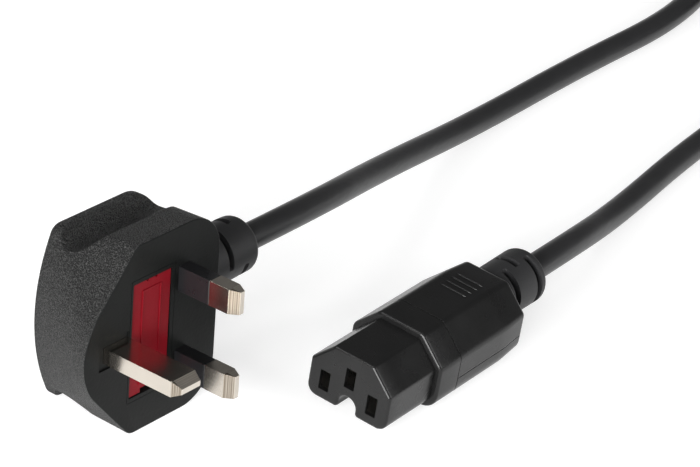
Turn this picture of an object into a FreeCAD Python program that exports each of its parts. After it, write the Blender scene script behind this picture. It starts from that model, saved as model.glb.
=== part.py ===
"""Moulded mains lead: fused three pin plug, round cord and a notched appliance connector.

Lengths are in millimetres. The plug is drawn in its own frame and then laid on its side:
its pins point along -Y, its earth end is at -X, its cord leaves along +X, and the face
that the pins stand on is at y = 0. The connector is drawn with its front face at x = 0,
its body running along +X and its keyway on the -Z side.
"""
import FreeCAD, Part
import math
import os

V = FreeCAD.Vector
X_AXIS = V(1, 0, 0)
Y_AXIS = V(0, 1, 0)
Z_AXIS = V(0, 0, 1)
ORIGIN = V(0, 0, 0)

# Pins of the plug
pin_spacing = 22.23
earth_offset = 22.23
power_pin_width = 6.35
power_pin_thickness = 3.97
power_pin_length = 17.7
earth_pin_width = 7.95
earth_pin_thickness = 3.97
earth_pin_length = 22.73
pin_tip_length = 2.6
pin_tip_inset = 1.3
power_tip_edge_inset = 0.25
earth_tip_edge_inset = 0.9
sleeve_length = 9.4
sleeve_wall = 0.7
pin_flange_overhang = 1.0
pin_flange_thickness = 1.2
earth_shank_width = 4.0
rivet_stud_radius = 1.1
rivet_head_radius = 1.6
rivet_head_thickness = 0.6

# Outline of the plug body at the pin face and at its back
body_depth = 24.0
face_half_width = 24.9
back_half_width = 22.5
face_cable_x = 12.3
back_cable_x = 11.2
face_side_x = -16.5
back_side_x = -19.8
face_nose_x = -38.6
back_nose_x = -28.6
face_nose_radius = 16.8
back_nose_radius = 50.0
side_corner_radius = 3.5
face_cable_corner = 10.8
back_cable_corner = 7.0
back_edge_radius = 1.2
back_edge_steps = 3
side_flat_inset = 0.02

# Finger grooves along both sides of the plug body
groove_back_y = 22.0
groove_bottom_y = 17.2
groove_front_y = 8.0
groove_bottom_z = 18.6
groove_radius = 4.4
groove_back_reach = 2.6
groove_front_reach = 3.0
groove_front_spread = 3.2
groove_edge_radius = 0.5
groove_back_slope = 0.25

# Walls and gaps of the plug
face_wall = 2.2
body_wall = 2.6
back_wall = 2.5
chamber_half_width = 16.4
fit_gap = 0.05
bridge_thickness = 6.8
cover_wall = 1.0
earth_recess_margin = 1.7
earth_recess_depth = 0.5

# Fuse and its carrier
fuse_length = 25.4
fuse_radius = 3.175
fuse_cap_length = 6.0
fuse_cap_wall = 0.25
fuse_cap_end = 0.4
carrier_x = -10.8
carrier_half_width = 6.3
carrier_end_gap = 0.55
carrier_plate = 1.6
carrier_recess = 0.3
carrier_clearance = 0.25
carrier_cheek = 1.2
carrier_end_wall = 1.5
carrier_depth = 8.4
carrier_rim_width = 0.4
carrier_rim_height = 0.25
carrier_rim_half_width = 3.2
carrier_rim_margin = 2.35
carrier_notch_radius = 0.5
carrier_notch_spacing = 3.0
saddle_place = 4.0
saddle_width = 1.2
saddle_grip = 1.0
pry_slot_width = 5.0
pry_slot_depth = 1.1
fuse_behind_plate = 0.35
pocket_groove_offset = 0.9
pocket_groove_width = 0.35
pocket_groove_depth = 0.25

# Strip metal clips, straps and crimps
strip = 0.5
clip_gap = 0.3
clip_length = 4.0
clip_end_margin = 0.1
clip_reach = 6.2
strap_width = 3.0
crimp_inner_radius = 0.95
crimp_wall = 0.45
crimp_length = 3.4
well_wall = 1.2

# Cord and its cores
cord_diameter = 7.0
core_diameter = 2.4
core_ring_radius = 1.5
core_spread_turn = 120.0
sheath_clearance = 1.3
sheath_inner_x = 7.0
core_lead = 2.2
earth_bend_x = -6.0

# Strain relief of the plug
relief_end_x = 38.0
relief_base_x = 10.6
relief_base_radius = 8.0
relief_end_radius = 7.2
relief_round = 1.8
relief_neck_radius = 6.0
relief_core_wall = 0.9
relief_slot_width = 1.6
relief_slot_angle = 84.0
relief_slot_turn = 216.0
relief_slot_places = [21.0, 27.0, 33.0]

# Appliance connector
nose_half_width = 11.8
nose_top = 10.6
nose_bottom = -5.4
nose_chamfer = 6.0
nose_corner_radius = 1.0
nose_bottom_radius = 2.8
nose_length = 18.5
front_edge_radius = 0.8
keyway_radius = 2.6
keyway_top = -1.3
keyway_length = 16.0
contact_spacing = 14.0
contact_offset = 4.0
slot_width = 2.9
slot_height = 5.4
slot_lip = 1.2
contact_wall = 0.4
contact_end = 17.2
contact_crimp_x = 20.2
shoulder_step = 1.6
shoulder_radius = 0.6
collar_end = 27.0
connector_length = 56.2
back_taper_start = 47.0
back_taper_inset = 0.7
connector_back_radius = 1.6
rear_chamber_half_width = 8.9
rear_chamber_top = 7.8
rear_chamber_bottom = -4.2
rear_chamber_start = 19.0
rear_chamber_end = 42.0
connector_sheath_x = 40.0
connector_axis_z = 2.8
connector_core_lead = 5.0
grip_rib_count = 4
grip_rib_pitch = 2.35
grip_rib_start = 40.3
grip_rib_length = 8.0
grip_rib_width = 0.5
grip_rib_height = 0.35
back_relief_end_x = 73.8
back_relief_base_radius = 7.2
back_relief_end_radius = 7.4
back_relief_round = 1.2
back_relief_neck_radius = 5.6
back_relief_neck_x = 48.0
back_relief_slot_places = [61.0, 66.0, 70.5]
back_relief_slot_turns = [290.0, 8.0, 290.0]
back_relief_slot_angles = [120.0, 50.0, 120.0]
back_relief_slot_width = 2.0

# Lie of the connector and of the cord on the surface that the plug stands on
connector_x = 37.6
connector_y = -31.1
connector_turn = 3.0
coil_x = 352.0
coil_y = 6.0
coil_radius = 39.9
coil_turns = 5
coil_layers = 2
coil_slack = 0.2
coil_lead_angle = 15.0
coil_lead_length = 30.0
cord_length = 2000.0
plug_cord_first_run = 26.0
plug_cord_last_run = 39.0
plug_cord_x = [118.0, 170.0, 224.0]
plug_cord_y = [25.4, 34.2, 36.9]
plug_cord_z = [13.0, 3.5, 3.5]
connector_cord_first_run = 20.0
connector_cord_last_run = 34.0
connector_cord_x = [165.0, 207.0, 244.0]
connector_cord_y = [-19.0, -12.0, -8.4]
connector_cord_z = [3.5, 3.5, 3.5]


def box(x0, x1, y0, y1, z0, z1):
    """Block between two corners."""
    return Part.makeBox(x1 - x0, y1 - y0, z1 - z0, V(x0, y0, z0))


def centred_box(centre_x, width, y0, y1, centre_z, height):
    """Block centred on a line along Y."""
    return box(centre_x - width / 2, centre_x + width / 2, y0, y1,
               centre_z - height / 2, centre_z + height / 2)


def rounded_edges(points, radii, closed):
    """Straight runs joined by tangent arcs, one radius for each point that turns."""
    count = len(points)
    turning = range(count) if closed else range(1, count - 1)
    starts = {}
    ends = {}
    arcs = {}
    for i in turning:
        corner = points[i]
        back = (points[i - 1] - corner).normalize()
        ahead = (points[(i + 1) % count] - corner).normalize()
        turn = math.pi - back.getAngle(ahead)
        reach = radii[i] * math.tan(turn / 2)
        to_centre = (back + ahead).normalize()
        middle = corner + to_centre * (radii[i] / math.cos(turn / 2) - radii[i])
        starts[i] = corner + back * reach
        ends[i] = corner + ahead * reach
        arcs[i] = Part.Arc(starts[i], middle, ends[i]).toShape()
    edges = []
    for i in range(count):
        following = (i + 1) % count
        if i in arcs:
            edges.append(arcs[i])
        if closed or i < count - 1:
            run_start = ends.get(i, points[i])
            run_end = starts.get(following, points[following])
            edges.append(Part.LineSegment(run_start, run_end).toShape())
    return edges


def plug_outline(depth, inset):
    """Rounded five-sided outline of the plug body at a depth behind the pin face."""
    share = depth / body_depth

    def between(face_value, back_value):
        return face_value + (back_value - face_value) * share

    half = between(face_half_width, back_half_width) - inset
    cable_x = between(face_cable_x, back_cable_x) - inset
    side_x = between(face_side_x, back_side_x)
    nose_x = between(face_nose_x, back_nose_x)
    flank = math.atan2(between(face_half_width, back_half_width), side_x - nose_x)
    side_x = side_x + inset * math.tan(flank / 2)
    nose_x = nose_x + inset / math.sin(flank)
    points = [V(cable_x, depth, half), V(cable_x, depth, -half), V(side_x, depth, -half),
              V(nose_x, depth, 0), V(side_x, depth, half)]
    nose_radius = between(face_nose_radius, back_nose_radius)
    cable_corner = between(face_cable_corner, back_cable_corner)
    radii = [cable_corner, cable_corner, side_corner_radius, nose_radius, side_corner_radius]
    radii = [max(radius - inset, fit_gap * 4) for radius in radii]
    return Part.Wire(rounded_edges(points, radii, True))


def plug_loft(inset, start, end):
    """Tapered plug form between two depths, inset from the outside of the body."""
    return Part.makeLoft([plug_outline(start, inset), plug_outline(end, inset)], True, True)


def chamber(inset, start, end):
    """Inner space of the plug body, narrowed so that it clears the finger grooves."""
    half = chamber_half_width - (inset - body_wall)
    slab = box(face_nose_x, face_cable_x, start, end, -half, half)
    return plug_loft(inset, start, end).common(slab)


carrier_half_length = fuse_length / 2 + carrier_end_gap + carrier_end_wall
carrier_rim_half_length = carrier_half_length - carrier_rim_margin
clip_outer_end = fuse_length / 2 - clip_end_margin
well_half_length = carrier_half_length + fit_gap
bridge_back = face_wall + bridge_thickness
chamber_back = body_depth - back_wall
plate_front = carrier_recess
plate_back = carrier_recess + carrier_plate
fuse_y = plate_back + fuse_behind_plate + fuse_radius
cord_radius = cord_diameter / 2
cord_axis_y = chamber_back - cover_wall - cord_radius - sheath_clearance
core_radius = core_diameter / 2
line_z = -pin_spacing / 2
neutral_z = pin_spacing / 2
power_hole_x = power_pin_thickness + 2 * fit_gap
power_hole_z = power_pin_width + 2 * fit_gap
pocket_half_width = carrier_half_width + carrier_clearance
pocket_half_length = carrier_half_length + carrier_clearance
strap_back = bridge_back + strip
crimp_radius = crimp_inner_radius + crimp_wall
clip_centre = clip_outer_end - clip_length / 2
clip_half_gap = fuse_radius + clip_gap
supply_crimp_x = carrier_x + pocket_half_width + well_wall + strip
supply_crimp_y = bridge_back + crimp_radius
neutral_crimp_z = neutral_z - rivet_head_radius - strip
earth_strap_back = strap_back + well_wall + strip
earth_riser_x = carrier_x - pocket_half_width - well_wall - strip - fit_gap
earth_crimp_x = earth_riser_x + 3 * strip
earth_crimp_y = earth_strap_back - strip + crimp_radius
rest_slope = math.atan2(face_half_width - back_half_width, body_depth)
rest_x = face_side_x / 2
rest_y = groove_front_y / 2
rest_z = face_half_width - side_flat_inset - rest_y * math.tan(rest_slope)


def side_slab():
    """Slab between the two flat, tapering sides of the plug body."""
    overshoot = body_wall
    points = []
    for side in (-1, 1):
        for depth in (-overshoot * side, body_depth + overshoot * side)[::side]:
            half = face_half_width - side_flat_inset - depth * math.tan(rest_slope)
            points.append(V(face_nose_x, depth, side * half))
    slab = Part.Face(Part.makePolygon(points + points[:1]))
    return slab.extrude(V(face_cable_x - face_nose_x + overshoot, 0, 0))


def groove_cutter(side):
    """Finger groove: a steep back wall and a long front slope, run along X."""
    outside = face_half_width + groove_radius
    back_lean = groove_back_y + (outside - back_half_width) * groove_back_slope
    profile = [V(face_nose_x, back_lean, outside),
               V(face_nose_x, groove_bottom_y + groove_back_reach, groove_bottom_z),
               V(face_nose_x, groove_bottom_y - groove_front_reach, groove_bottom_z),
               V(face_nose_x, groove_front_y - groove_front_spread, outside)]
    radii = [groove_edge_radius, groove_radius * 0.7, groove_radius, groove_edge_radius]
    wire = Part.Wire(rounded_edges(profile, radii, True))
    cutter = Part.Face(wire).extrude(V(face_cable_x - face_nose_x + 2, 0, 0))
    if side < 0:
        cutter = cutter.mirror(ORIGIN, Z_AXIS)
    return cutter


def carrier_pocket(start, end):
    """Space that the fuse carrier slides in."""
    return centred_box(carrier_x, 2 * pocket_half_width, start, end, 0, 2 * pocket_half_length)


def make_plug_body():
    """Soft overmould: tapered shell with finger grooves, pin holes and carrier pocket."""
    outlines = [plug_outline(0, 0)]
    for step in range(back_edge_steps + 1):
        turn = math.pi / 2 * step / back_edge_steps
        depth = body_depth - back_edge_radius * (1 - math.sin(turn))
        outlines.append(plug_outline(depth, back_edge_radius * (1 - math.cos(turn))))
    body = Part.makeLoft(outlines, True, True).common(side_slab())
    for side in (-1, 1):
        body = body.cut(groove_cutter(side))
    body = body.cut(chamber(body_wall - fit_gap, face_wall, chamber_back))
    for pin_z in (line_z, neutral_z):
        body = body.cut(centred_box(0, power_hole_x, -1, face_wall + 1, pin_z, power_hole_z))
    body = body.cut(centred_box(-earth_offset, earth_pin_width + 2 * fit_gap, -1, face_wall + 1, 0,
                                earth_pin_thickness + 2 * fit_gap))
    recess_width = earth_pin_width + 2 * earth_recess_margin
    recess_height = earth_pin_thickness + 2 * earth_recess_margin
    body = body.cut(centred_box(-earth_offset, recess_width, -1, earth_recess_depth, 0, recess_height))
    body = body.cut(carrier_pocket(-1, bridge_back))
    body = body.cut(pocket_groove())
    relief_hole = Part.makeCylinder(relief_neck_radius + fit_gap, face_cable_x, V(0, cord_axis_y, 0), X_AXIS)
    counterbore = Part.makeCylinder(relief_base_radius + fit_gap, face_cable_x,
                                    V(relief_base_x - fit_gap, cord_axis_y, 0), X_AXIS)
    return body.cut(relief_hole).cut(counterbore)


def pocket_groove():
    """Fine groove in the pin face around the carrier pocket."""
    outer = pocket_groove_offset + pocket_groove_width
    frame = centred_box(carrier_x, 2 * (pocket_half_width + outer), -1, pocket_groove_depth, 0,
                        2 * (pocket_half_length + outer))
    middle = centred_box(carrier_x, 2 * (pocket_half_width + pocket_groove_offset), -1,
                         pocket_groove_depth, 0, 2 * (pocket_half_length + pocket_groove_offset))
    return frame.cut(middle)


def tapered_blade(centre_x, width_x, inset_x, centre_z, width_z, inset_z, length, root):
    """Pin blade from its root to a tip bevelled on all four sides."""
    shoulder = pin_tip_length - length
    blade = centred_box(centre_x, width_x, shoulder, root, centre_z, width_z)

    def section(y, share):
        half_x = width_x / 2 - inset_x * share
        half_z = width_z / 2 - inset_z * share
        corners = [V(centre_x - half_x, y, centre_z - half_z), V(centre_x + half_x, y, centre_z - half_z),
                   V(centre_x + half_x, y, centre_z + half_z), V(centre_x - half_x, y, centre_z + half_z)]
        return Part.makePolygon(corners + corners[:1])

    tip = Part.makeLoft([section(shoulder, 0), section(-length, 1)], True, True)
    return blade.fuse(tip).removeSplitter()


def pin_root(centre_x, shank_x, centre_z, shank_z, flange_x, flange_z):
    """Part of a pin inside the plug: locking flange, shank and riveted stud."""
    flange = centred_box(centre_x, flange_x, face_wall, face_wall + pin_flange_thickness, centre_z, flange_z)
    shank = centred_box(centre_x, shank_x, face_wall, bridge_back, centre_z, shank_z)
    stud = Part.makeCylinder(rivet_stud_radius, strip, V(centre_x, bridge_back, centre_z), Y_AXIS)
    head = Part.makeCylinder(rivet_head_radius, rivet_head_thickness, V(centre_x, strap_back, centre_z), Y_AXIS)
    return flange.fuse([shank, stud, head])


def make_power_pin(pin_z):
    """Line or neutral pin: full blade at the tip, reduced under its sleeve."""
    blade = tapered_blade(0, power_pin_thickness, pin_tip_inset, pin_z, power_pin_width, power_tip_edge_inset,
                          power_pin_length, -sleeve_length)
    shank_x = power_pin_thickness - 2 * sleeve_wall
    shank_z = power_pin_width - 2 * sleeve_wall
    neck = centred_box(0, shank_x, -sleeve_length, face_wall, pin_z, shank_z)
    root = pin_root(0, shank_x, pin_z, shank_z, power_pin_thickness + 2 * pin_flange_overhang,
                    power_pin_width + 2 * pin_flange_overhang)
    return blade.fuse([neck, root]).removeSplitter()


def make_earth_pin():
    """Earth pin: solid from tip to flange, with a narrower shank in the bridge."""
    blade = tapered_blade(-earth_offset, earth_pin_width, earth_tip_edge_inset, 0, earth_pin_thickness,
                          pin_tip_inset, earth_pin_length, face_wall)
    root = pin_root(-earth_offset, earth_shank_width, 0, earth_pin_thickness, earth_pin_width,
                    earth_pin_thickness + 2 * pin_flange_overhang)
    return blade.fuse(root).removeSplitter()


def make_pin_sleeve(pin_z):
    """Insulating sleeve, flush with the bare end of its pin."""
    outside = centred_box(0, power_pin_thickness, -sleeve_length, face_wall, pin_z, power_pin_width)
    inside = centred_box(0, power_pin_thickness - 2 * sleeve_wall, -sleeve_length, face_wall, pin_z,
                         power_pin_width - 2 * sleeve_wall)
    return outside.cut(inside)


def make_pin_bridge():
    """Rigid block that holds the pins, with the fuse well raised on its back."""
    bridge = chamber(body_wall, face_wall, bridge_back)
    floor_back = strap_back + well_wall
    well = centred_box(carrier_x, 2 * (pocket_half_width + well_wall), bridge_back, floor_back, 0,
                       2 * well_half_length)
    bridge = bridge.fuse(well)
    bridge = bridge.cut(carrier_pocket(face_wall - 1, bridge_back))
    bridge = bridge.cut(centred_box(carrier_x, 2 * pocket_half_width, bridge_back - fit_gap, strap_back, 0,
                                    2 * well_half_length + 1))
    flange_back = face_wall + pin_flange_thickness + fit_gap
    for pin_z in (line_z, neutral_z):
        bridge = bridge.cut(centred_box(0, power_hole_x - 2 * sleeve_wall, face_wall - 1, bridge_back + 1,
                                        pin_z, power_hole_z - 2 * sleeve_wall))
        bridge = bridge.cut(centred_box(0, power_hole_x + 2 * pin_flange_overhang, face_wall - 1,
                                        flange_back, pin_z, power_hole_z + 2 * pin_flange_overhang))
    bridge = bridge.cut(centred_box(-earth_offset, earth_shank_width + 2 * fit_gap, face_wall - 1,
                                    bridge_back + 1, 0, earth_pin_thickness + 2 * fit_gap))
    bridge = bridge.cut(centred_box(-earth_offset, earth_pin_width + 2 * fit_gap, face_wall - 1, flange_back,
                                    0, earth_pin_thickness + 2 * pin_flange_overhang + 2 * fit_gap))
    for strap_z in (line_z, 0):
        bridge = bridge.cut(centred_box(carrier_x + pocket_half_width, 4 * well_wall, bridge_back - fit_gap,
                                        strap_back, strap_z, strap_width + 2 * fit_gap))
    return bridge.removeSplitter()


def make_inner_cover():
    """Cap that closes the terminal space before the soft body is moulded round it."""
    outside = chamber(body_wall, bridge_back, chamber_back)
    inside = chamber(body_wall + cover_wall, bridge_back, chamber_back - cover_wall)
    cord_hole = Part.makeCylinder(cord_radius + fit_gap, face_cable_x, V(0, cord_axis_y, 0), X_AXIS)
    neck_hole = Part.makeCylinder(relief_neck_radius + fit_gap, face_cable_x,
                                  V(back_cable_x - body_wall, cord_axis_y, 0), X_AXIS)
    earth_room = centred_box(-earth_offset, 2 * (rivet_head_radius + clip_gap), bridge_back, earth_strap_back, 0,
                             2 * (rivet_head_radius + clip_gap))
    return outside.cut(inside).cut(cord_hole).cut(neck_hole).cut(earth_room)


def make_fuse_carrier():
    """Pull-out carrier: face plate, two cheeks, two end walls and snap saddles for the fuse."""
    plate = centred_box(carrier_x, 2 * carrier_half_width, plate_front, plate_back, 0, 2 * carrier_half_length)
    pieces = []
    for side in (-1, 1):
        cheek_x = carrier_x + side * (carrier_half_width - carrier_cheek / 2)
        pieces.append(centred_box(cheek_x, carrier_cheek, plate_back, carrier_depth, 0,
                                  2 * carrier_half_length))
        end_z = side * (carrier_half_length - carrier_end_wall / 2)
        pieces.append(centred_box(carrier_x, 2 * carrier_half_width, plate_back, fuse_y, end_z,
                                  carrier_end_wall))
        pieces.append(centred_box(carrier_x, 2 * carrier_half_width, plate_back, fuse_y + saddle_grip,
                                  side * saddle_place, saddle_width))
    carrier = plate.fuse(pieces)
    tube_radius = fuse_radius - fuse_cap_wall
    carrier = carrier.cut(Part.makeCylinder(tube_radius + fit_gap, 2 * (saddle_place + saddle_width),
                                            V(carrier_x, fuse_y, -saddle_place - saddle_width), Z_AXIS))
    rim = centred_box(carrier_x, 2 * carrier_rim_half_width, plate_front - carrier_rim_height, plate_front, 0,
                      2 * carrier_rim_half_length)
    panel = centred_box(carrier_x, 2 * (carrier_rim_half_width - carrier_rim_width),
                        plate_front - carrier_rim_height, plate_front, 0,
                        2 * (carrier_rim_half_length - carrier_rim_width))
    carrier = carrier.fuse(rim.cut(panel))
    for side in (-1, 1):
        notch_x = carrier_x + side * carrier_notch_spacing / 2
        carrier = carrier.cut(Part.makeCylinder(carrier_notch_radius, plate_back + 1,
                                                V(notch_x, -1, carrier_half_length), Y_AXIS))
    pry_slot = centred_box(carrier_x, pry_slot_width, -1, plate_back, -carrier_half_length, 2 * pry_slot_depth)
    return carrier.cut(pry_slot).removeSplitter()


def make_fuse_tube():
    """Ceramic barrel of the cartridge fuse, sealed inside its two caps."""
    half = fuse_length / 2 - fuse_cap_end
    tube_radius = fuse_radius - fuse_cap_wall - fit_gap
    return Part.makeCylinder(tube_radius, 2 * half, V(carrier_x, fuse_y, -half), Z_AXIS)


def make_fuse_cap(side):
    """Metal end cap of the fuse."""
    end = side * fuse_length / 2
    direction = V(0, 0, -side)
    outside = Part.makeCylinder(fuse_radius, fuse_cap_length, V(carrier_x, fuse_y, end), direction)
    mouth = Part.makeCylinder(fuse_radius - fuse_cap_wall, fuse_cap_length,
                              V(carrier_x, fuse_y, end - side * fuse_cap_end), direction)
    return outside.cut(mouth)


def clip_jaws(side):
    """Two spring arms on a base that grip one end cap of the fuse."""
    outer = clip_half_gap + strip
    centre = side * clip_centre
    base = centred_box(carrier_x, 2 * outer, bridge_back, strap_back, centre, clip_length)
    arms = []
    for hand in (-1, 1):
        arm_x = carrier_x + hand * (clip_half_gap + strip / 2)
        arms.append(centred_box(arm_x, strip, strap_back - clip_reach, bridge_back, centre, clip_length))
    return base.fuse(arms)


def rivet_hole(centre_x, centre_z):
    """Clearance hole for a pin's riveted stud."""
    return Part.makeCylinder(rivet_stud_radius + fit_gap, 3 * strip, V(centre_x, bridge_back - strip, centre_z),
                             Y_AXIS)


def crimp_barrel(start, direction):
    """Rolled barrel that grips the end of a conductor."""
    outside = Part.makeCylinder(crimp_radius, crimp_length, start, direction)
    return outside.cut(Part.makeCylinder(crimp_inner_radius, crimp_length - strip, start + direction * strip,
                                         direction))


def make_line_clip():
    """Fuse clip that runs on as a strap to the line pin."""
    strap = box(carrier_x, rivet_head_radius + strip, bridge_back, strap_back,
                line_z - strap_width / 2, line_z + strap_width / 2)
    return clip_jaws(-1).fuse(strap).cut(rivet_hole(0, line_z)).removeSplitter()


def make_supply_clip():
    """Fuse clip whose strap turns out of the well to the crimp on the live core."""
    along = centred_box(carrier_x, strap_width, bridge_back, strap_back, clip_centre / 2, clip_centre)
    across = box(carrier_x - strap_width / 2, supply_crimp_x + strip, bridge_back, strap_back,
                 -strap_width / 2, strap_width / 2)
    barrel = crimp_barrel(V(supply_crimp_x, supply_crimp_y, 0), X_AXIS)
    return clip_jaws(1).fuse([along, across, barrel]).removeSplitter()


def make_neutral_terminal():
    """Plate riveted to the neutral pin, with a crimp that points to the middle of the plug."""
    plate = centred_box(0, 2 * (rivet_head_radius + strip), bridge_back, strap_back, neutral_z, strap_width)
    neck = box(-strap_width / 2, strap_width / 2, bridge_back, strap_back, neutral_crimp_z - strip, neutral_z)
    barrel = crimp_barrel(V(0, supply_crimp_y, neutral_crimp_z), Z_AXIS * -1)
    return plate.fuse([neck, barrel]).cut(rivet_hole(0, neutral_z)).removeSplitter()


def make_earth_terminal():
    """Plate riveted to the earth pin, stepped up over the fuse well to its crimp."""
    plate = box(-earth_offset - rivet_head_radius, earth_riser_x, bridge_back, strap_back,
                -strap_width / 2, strap_width / 2)
    riser = box(earth_riser_x - strip, earth_riser_x, bridge_back, earth_strap_back,
                -strap_width / 2, strap_width / 2)
    top = box(earth_riser_x - strip, earth_crimp_x + strip, earth_strap_back - strip, earth_strap_back,
              -strap_width / 2, strap_width / 2)
    barrel = crimp_barrel(V(earth_crimp_x, earth_crimp_y, 0), X_AXIS)
    return plate.fuse([riser, top, barrel]).cut(rivet_hole(-earth_offset, 0)).removeSplitter()


def route_radii(points):
    """Largest tangent arcs that the runs of a route allow."""
    radii = [0] * len(points)
    for i in range(1, len(points) - 1):
        before = points[i - 1] - points[i]
        after = points[i + 1] - points[i]
        turn = math.pi - before.getAngle(after)
        radii[i] = 0.45 * min(before.Length, after.Length) / math.tan(turn / 2)
    return radii


def routed_tube(points, radius):
    """Round tube along straight runs and tangent arcs."""
    path = Part.Wire(rounded_edges(points, route_radii(points), False))
    start_direction = points[1] - points[0]
    profile = Part.Wire(Part.makeCircle(radius, points[0], start_direction))
    return path.makePipeShell([profile], True, True), path.Length


def core_with_end(points, end_direction):
    """Insulated core, mitred at its bends, whose bared conductor fills the crimp at its end."""
    profile = Part.Wire(Part.makeCircle(core_radius, points[0], points[1] - points[0]))
    mitred = 1
    tube = Part.makePolygon(points).makePipeShell([profile], True, False, mitred)
    bare = Part.makeCylinder(crimp_inner_radius, crimp_length - strip, points[-1], end_direction)
    return tube.fuse(bare)


def make_plug_cores():
    """Live, neutral and earth cores from the end of the sheath to their crimps."""
    near_y = cord_axis_y - core_ring_radius
    far_y = cord_axis_y + core_ring_radius / 2
    pair_z = core_ring_radius * math.sin(math.pi / 3)
    lead = X_AXIS * core_lead
    live_start = V(sheath_inner_x, near_y, 0)
    neutral_start = V(sheath_inner_x, far_y, pair_z)
    earth_start = V(sheath_inner_x, far_y, -pair_z)
    live_mouth = V(supply_crimp_x + crimp_length, supply_crimp_y, 0)
    neutral_mouth = V(0, supply_crimp_y, neutral_crimp_z - crimp_length)
    earth_mouth = V(earth_crimp_x + crimp_length, earth_crimp_y, 0)
    earth_bend = V(earth_bend_x, (5 * far_y + earth_crimp_y) / 6, -pair_z)
    live = [live_start, live_start - lead, live_mouth + lead, live_mouth]
    neutral = [neutral_start, neutral_start - lead * 1.5, V(0, (far_y + supply_crimp_y) / 2, pair_z),
               neutral_mouth - Z_AXIS * core_lead, neutral_mouth]
    earth = [earth_start, V(0, far_y, -pair_z), earth_bend, earth_mouth + lead * 1.5, earth_mouth]
    return {
        "live_core": core_with_end(live, X_AXIS * -1),
        "neutral_core": core_with_end(neutral, Z_AXIS),
        "earth_core": core_with_end(earth, X_AXIS * -1),
    }


def make_sheath_end():
    """Length of the cord's sheath that is held inside the strain relief and the plug."""
    return Part.makeCylinder(cord_radius, relief_end_x - sheath_inner_x, V(sheath_inner_x, cord_axis_y, 0),
                             X_AXIS)


def relief_slot(centre, direction, place, width, angle, middle_angle, inner_radius, outer_radius):
    """Part of a ring, cut out of a strain relief so that it can bend."""
    start = centre + direction * (place - width / 2)
    ring = Part.makeCylinder(outer_radius, width, start, direction)
    ring = ring.cut(Part.makeCylinder(inner_radius, width, start, direction))
    reach = 2 * outer_radius
    half = math.radians(angle / 2)
    wedge_points = [start]
    for step in (-1, 0, 1):
        turn = math.radians(middle_angle) + step * half
        wedge_points.append(start + V(0, math.sin(turn), math.cos(turn)) * reach)
    wedge_points.append(start)
    wedge = Part.Face(Part.makePolygon(wedge_points)).extrude(direction * width)
    return ring.common(wedge)


def make_strain_relief():
    """Tapered grommet on the cord, with a neck that locks in the plug body."""
    bore = cord_radius + fit_gap
    drop = relief_round * (1 - math.sqrt(0.5))
    profile = [V(relief_base_x, bore, 0), V(relief_base_x, relief_base_radius, 0),
               V(relief_end_x - relief_round, relief_end_radius, 0),
               V(relief_end_x - drop, relief_end_radius - drop, 0),
               V(relief_end_x, relief_end_radius - relief_round, 0), V(relief_end_x, bore, 0)]
    relief = Part.Face(Part.makePolygon(profile + profile[:1])).revolve(ORIGIN, X_AXIS, 360)
    relief = Part.Shape(relief)
    relief.translate(V(0, cord_axis_y, 0))
    neck_start = back_cable_x - body_wall + fit_gap
    neck = Part.makeCylinder(relief_neck_radius, relief_base_x - neck_start + fit_gap,
                             V(neck_start, cord_axis_y, 0), X_AXIS)
    relief = relief.fuse(neck)
    relief = relief.cut(Part.makeCylinder(bore, 2 * relief_end_x, V(0, cord_axis_y, 0), X_AXIS))
    centre = V(0, cord_axis_y, 0)
    for index, place in enumerate(relief_slot_places):
        for opposite in (0, 180):
            middle = relief_slot_turn + 90 * index + opposite
            slot = relief_slot(centre, X_AXIS, place, relief_slot_width, relief_slot_angle, middle,
                               bore + relief_core_wall, relief_base_radius + 1)
            relief = relief.cut(slot)
    return relief


def lay_plug(shape):
    """Turn the plug so that its tapered side lies flat on the surface at z = 0."""
    laid = shape.copy()
    laid.translate(V(-rest_x, -rest_y, rest_z))
    laid.rotate(ORIGIN, X_AXIS, -math.degrees(rest_slope))
    return laid


def make_plug():
    """Every piece of the plug, still in the plug's own frame."""
    pieces = {
        "plug_body": make_plug_body(),
        "strain_relief": make_strain_relief(),
        "pin_bridge": make_pin_bridge(),
        "inner_cover": make_inner_cover(),
        "earth_pin": make_earth_pin(),
        "line_pin": make_power_pin(line_z),
        "neutral_pin": make_power_pin(neutral_z),
        "line_pin_sleeve": make_pin_sleeve(line_z),
        "neutral_pin_sleeve": make_pin_sleeve(neutral_z),
        "fuse_carrier": make_fuse_carrier(),
        "fuse_tube": make_fuse_tube(),
        "fuse_cap_line": make_fuse_cap(-1),
        "fuse_cap_supply": make_fuse_cap(1),
        "line_fuse_clip": make_line_clip(),
        "supply_fuse_clip": make_supply_clip(),
        "neutral_terminal": make_neutral_terminal(),
        "earth_terminal": make_earth_terminal(),
        "plug_sheath_end": make_sheath_end(),
    }
    pieces.update(make_plug_cores())
    return pieces


def connector_outline(x, inset):
    """Outline of the connector at x: a rectangle with its two upper corners cut off."""
    half = nose_half_width - inset
    top = nose_top - inset
    bottom = nose_bottom + inset
    cut = nose_chamfer - inset * (2 - math.sqrt(2))
    points = [V(x, half, bottom), V(x, half, top - cut), V(x, half - cut, top), V(x, cut - half, top),
              V(x, -half, top - cut), V(x, -half, bottom)]
    low = max(nose_bottom_radius - inset, 0.2)
    radii = [low] + [max(nose_corner_radius - inset, 0.2)] * 4 + [low]
    return Part.Wire(rounded_edges(points, radii, True))


def connector_loft(stations):
    """Solid through outlines of the connector, each given by its place and its inset."""
    return Part.makeLoft([connector_outline(x, inset) for x, inset in stations], True, True)


def rounded_stations(x, direction, inset, radius):
    """Stations that round off an end edge of the connector in four steps."""
    stations = []
    for step in range(back_edge_steps + 1):
        turn = math.pi / 2 * step / back_edge_steps
        stations.append((x + direction * radius * (1 - math.cos(turn)), inset + radius * (1 - math.sin(turn))))
    return stations


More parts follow.
